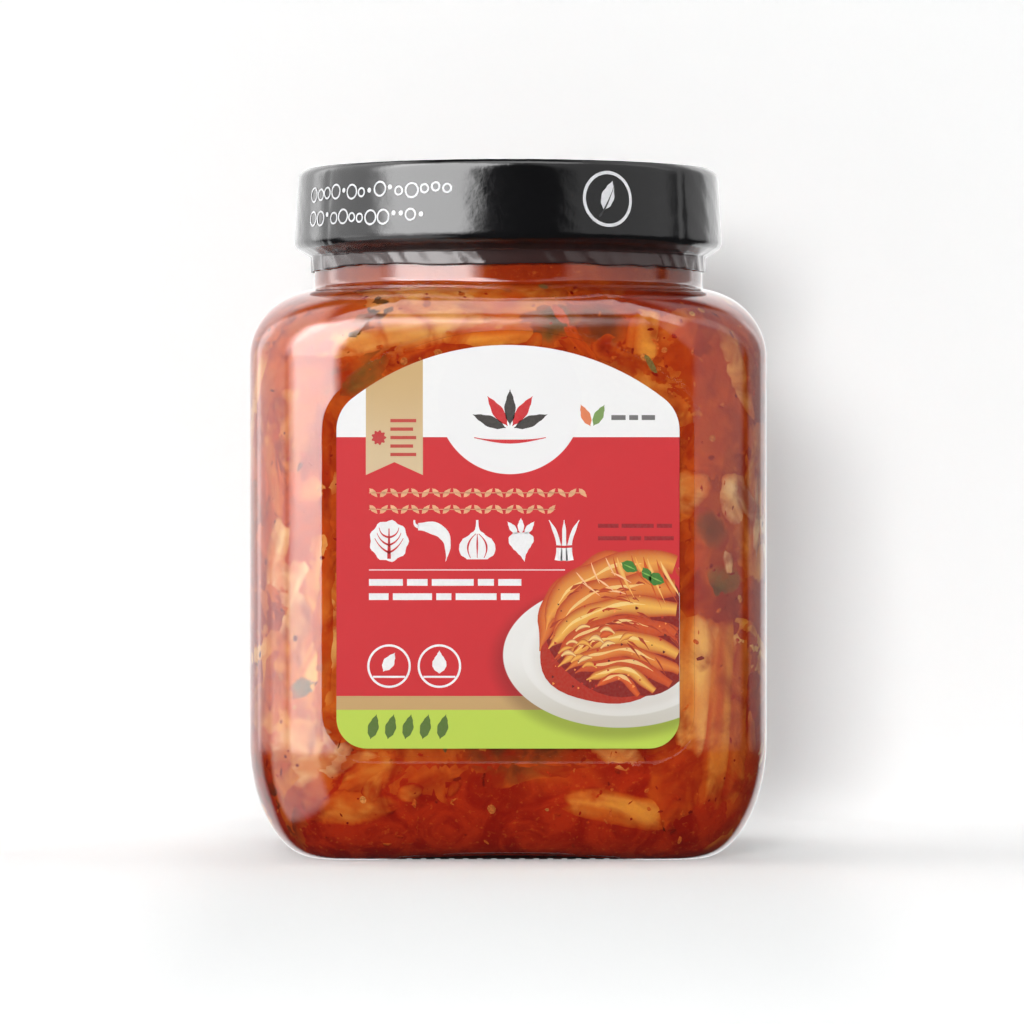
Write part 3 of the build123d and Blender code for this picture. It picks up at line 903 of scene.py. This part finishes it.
while px < 36.5:
    px += luck.uniform(1.9, 4.2)
    ridge = 69.2 - 0.018 * (px - 26) ** 2
    foot_x, foot_z = px + luck.uniform(2.4, 5.4), luck.uniform(57, 63)
    food.strip(bow((px, ridge), (px + 0.8, 64.5), (foot_x, foot_z), 10),
               (0.1, luck.uniform(0.4, 0.9), 0.3, 0.05), mixed(rust, flame, luck.random()), 6.5)
    food.strip(bow((px + 0.9, ridge - 0.4), (px + 1.8, 65), (foot_x + 0.8, foot_z + 1.2), 10),
               (0.1, luck.uniform(0.6, 1.3), 0.6, 0.05), mixed(straw, butter, luck.random()), 6.6,
               colour(232, 150, 66))
for px, pz, turn in ((16.8, 63.6, 58), (18.6, 61.6, 40), (19.6, 65.2, 74), (21.8, 62.6, 30),
                     (23.0, 66.6, 66), (24.6, 60.8, 12), (25.4, 64.2, 24)):
    lean, size = radians(turn + luck.uniform(-14, 14)), luck.uniform(1.5, 2.6)
    sliver = [(px + size * cos(lean) * way - 0.25 * (1 - way * way),
               pz - size * sin(lean) * way + 0.3 * (1 - way * way)) for way in (-1, -0.5, 0, 0.5, 1)]
    food.strip(sliver, (0.1, 0.5, 0.1), colour(246, 206, 158), 11, colour(236, 160, 96))
for px, pz, length, wide, turn in ((27.3, 66.6, 4.2, 2.7, 118), (31.2, 64.9, 3.6, 2.2, 150),
                                   (33.3, 63.8, 4.0, 3.0, 112)):
    food.leaf(px, pz, length, wide, turn, colour(62, 122, 44), 13)
    food.strip(bow((px - 1.2, pz + 0.5), (px, pz), (px + 1.2, pz - 0.6)), (0.1, 0.3, 0.1),
               colour(132, 184, 84), 14)
specks = (colour(190, 40, 20), colour(240, 150, 70), colour(96, 14, 8))
for k in range(60):
    px, pz = luck.uniform(10, 37), luck.uniform(39, 62)
    food.disc(px, pz, luck.uniform(0.1, 0.3), luck.choice(specks), 12, 0.2, 3)
food.piece("label_serving", ink, "label")


# ---------------------------------------------------------------- Print on the band
# White ink on the film: two rows of bubbles left of the front, and a ring with a leaf right of it.
# The shapes lie a tenth of a millimetre off the film's skirt.

def on_band(px, pz, level):
    """A point on the outside of the film, px millimetres round from the front."""
    share = min(max((skirt_top - pz) / (skirt_top - skirt_foot), 0), 1)
    radius = skirt_radius + skirt_flare * share + 0.1 + 0.01 * level
    angle = px / 50
    return Vector((radius * sin(angle), -radius * cos(angle), pz)) * mm


marks = Ink(on_band)
luck = Random(12)
silver = colour(226, 227, 230)
for height, last in ((152.2, -15.0), (146.4, -21.0)):
    along = -58.0
    while along < last:
        size = luck.choice((0.7, 0.95, 1.25, 1.6))
        if size > 0.9:
            marks.ring(along + size, height + luck.uniform(-0.4, 0.4), size, 0.42, silver)
        else:
            marks.disc(along + size, height + luck.uniform(-0.9, 0.9), size * 0.8, silver)
        along += 2 * size + luck.uniform(0.5, 0.9)
marks.ring(23.8, 149.9, 6.0, 0.75, silver)
marks.leaf(23.8, 150.6, 7.4, 3.4, 20, silver)
marks.strip(bow((21.4, 145.9), (23.0, 147.2), (25.6, 153.2)), (0.5, 0.4, 0.1), colour(30, 30, 32), 1)
white_ink = worn_ink("band_ink", {"Roughness": 0.3}, 1.2, 0.12, colour(150, 150, 152))
marks.piece("band_marks", white_ink, "black_film")


# ---------------------------------------------------------------- Set
# A white floor that curves up into a wall close behind the jar, lamps that light it, panels that
# only show as reflections in the plastic and the film, and the camera.

aim = Vector((0, 0, 0.085))               # the middle of the jar
edge_fade = 0.16                          # of a panel's width and height


def lamp(name, size, azimuth, elevation, far, lights=0.0, shows=0.0):
    """A soft lamp round the jar, at 0 in front and 90 at its right. It either lights a surface that
    faces it to a level of 1 for white, or only shows in reflections, with its own brightness."""
    a, e = radians(azimuth), radians(elevation)
    way = Vector((sin(a) * cos(e), -cos(a) * cos(e), sin(e)))
    bpy.ops.object.light_add(type="AREA", location=aim + way * far)
    made = bpy.context.object
    made.name = name
    made.rotation_euler = way.to_track_quat("Z", "Y").to_euler()
    made.data.shape = "RECTANGLE"
    made.data.size, made.data.size_y = size
    made.data.energy = pi * pi * lights * far * far + pi * shows * size[0] * size[1]
    made.visible_camera = False
    made.visible_glossy = shows > 0
    made.visible_diffuse = lights > 0
    made.visible_transmission = False
    if shows:
        # a panel fades out towards its four edges
        panel = made.data
        panel.use_nodes = True
        spot = step(panel, "NewGeometry").outputs["Parametric"]
        spot = step(panel, "SeparateXYZ", {0: spot}).outputs
        fades = [between(panel, sums(panel, "PINGPONG", spot[axis], 0.5), 0.0, edge_fade)
                 for axis in (0, 1)]
        feed(panel, sums(panel, "MULTIPLY", *fades), "Emission", "Strength")


lamp("key", (0.2, 0.2), -5.8, 10, 1.15, lights=0.56)
lamp("left_fill", (0.8, 0.8), -90, 12, 1.1, lights=0.72)
lamp("right_fill", (0.8, 0.8), 88, 10, 1.1, lights=0.53)
lamp("top_fill", (0.6, 0.6), 180, 76, 1.0, lights=0.22)
lamp("back_key", (0.6, 0.6), -155, 40, 1.1, lights=0.46)
lamp("back_fill", (0.9, 0.9), 150, 15, 1.3, lights=0.14)
lamp("left_panel", (1.5, 1.95), -45, 33, 1.3, shows=5.1)
lamp("left_panel_edge", (1.9, 2.5), -46, 29, 1.32, shows=3.4)
lamp("left_low_panel", (1.9, 1.2), -70, -22, 1.34, shows=1.5)
lamp("left_far_panel", (1.8, 2.3), -104, 30, 1.36, shows=1.9)
lamp("back_panel", (3.4, 2.2), -172, 4, 1.2, shows=1.4)
lamp("top_panel", (1.0, 0.55), 0, 80, 1.0, shows=2.6)
lamp("right_panel", (2.1, 2.3), 66, 32, 1.3, shows=0.66)
lamp("right_far_panel", (1.1, 2.3), 124, 32, 1.3, shows=0.6)

bpy.ops.mesh.primitive_plane_add(size=8, location=(0, 0, 0))
floor_plane = bpy.context.object
floor_plane.name = "floor"
floor_plane.visible_glossy = False

# the wall stands behind the jar and curves forward into the floor at its foot
wall_y, wall_height, cove, cove_steps = 0.14, 4, 0.024, 12
bpy.ops.mesh.primitive_plane_add(size=8, location=(0, wall_y - cove, 0.0002))
wall_plane = bpy.context.object
wall_plane.name = "backdrop"
bpy.ops.object.transform_apply(location=True)
bpy.ops.object.mode_set(mode="EDIT")
bpy.ops.mesh.select_mode(type="VERT")
bpy.ops.mesh.select_all(action="DESELECT")
bpy.ops.object.mode_set(mode="OBJECT")
for point in wall_plane.data.vertices:
    point.co.y = wall_y - cove - (0.0 if point.co.y > 0 else 0.01)
    point.select = point.co.y > wall_y - cove - 0.005
bpy.ops.object.mode_set(mode="EDIT")
for number in range(cove_steps):
    angle, last = [radians(90) * (number + k) / cove_steps for k in (1, 0)]
    bpy.ops.mesh.extrude_region_move(TRANSFORM_OT_translate={"value": (
        0, cove * (sin(angle) - sin(last)), cove * (cos(last) - cos(angle)))})
bpy.ops.mesh.extrude_region_move(TRANSFORM_OT_translate={"value": (0, 0, wall_height)})
bpy.ops.mesh.select_all(action="SELECT")
bpy.ops.mesh.normals_make_consistent(inside=True)
bpy.ops.object.mode_set(mode="OBJECT")
bpy.ops.object.shade_smooth()
wall_plane.visible_shadow = wall_plane.visible_glossy = False

for plane, one_sided in ((floor_plane, False), (wall_plane, True)):
    made, shader = finish(plane.name + "_white", {"Roughness": 1.0, "Specular IOR Level": 0.0})
    along, _, height = step(made, "SeparateXYZ", {0: place_of(made)}).outputs
    rise = between(made, height, 0.3, 14.0)
    # the floor's glow is weaker in a strip as wide as the jar, which paints a shade on the floor under and
    # around it; beside the jar it is stronger
    beside = between(made, sums(made, "ABSOLUTE", along, 0.0), 48.0, 90.0)
    white = blend(made, rise, (0.76, 0.76, 0.76, 1), (1, 1, 1, 1))
    glow = blend(made, beside, (0.27, 0.28, 0.28, 1), (0.425, 0.43, 0.43, 1))
    glow = blend(made, rise, glow, (0.14, 0.148, 0.148, 1))
    feed(made, white, shader)
    # the glow is only for the camera, so that it lights nothing
    seen = step(made, "LightPath").outputs["Is Camera Ray"]
    for_camera = step(made, "Emission", {"Color": glow, "Strength": seen})
    total = step(made, "AddShader", {0: shader.outputs[0], 1: for_camera.outputs[0]})
    surface = total.outputs[0]
    if one_sided:
        back = step(made, "NewGeometry").outputs["Backfacing"]
        clear = step(made, "BsdfTransparent")
        surface = step(made, "MixShader", {0: back, 1: surface, 2: clear.outputs[0]}).outputs[0]
    feed(made, surface, "Material Output", "Surface")
    plane.data.materials.append(made)

# the sky is white to the camera and dim to everything else
world = bpy.data.worlds.new("studio")
bpy.context.scene.world = world
world.use_nodes = True
seen_sky = world.node_tree.nodes["Background"]
seen_sky.inputs["Color"].default_value = (1, 1, 1, 1)
seen_sky.inputs["Strength"].default_value = 1.0
dim_sky = step(world, "Background", {"Color": (1, 1, 1, 1), "Strength": 0.04})
sky = step(world, "MixShader", {0: step(world, "LightPath").outputs["Is Camera Ray"],
                                1: dim_sky.outputs[0], 2: seen_sky.outputs[0]})
feed(world, sky.outputs[0], "World Output", "Surface")

bpy.ops.object.camera_add(location=(0.0009, -1.358, 0.0789), rotation=(radians(90), 0, 0))
camera = bpy.context.object
camera.data.sensor_width = 36
camera.data.lens = 203.7
camera.data.clip_start = 0.01
bpy.context.scene.camera = camera
bpy.context.scene.view_settings.view_transform = "Standard"
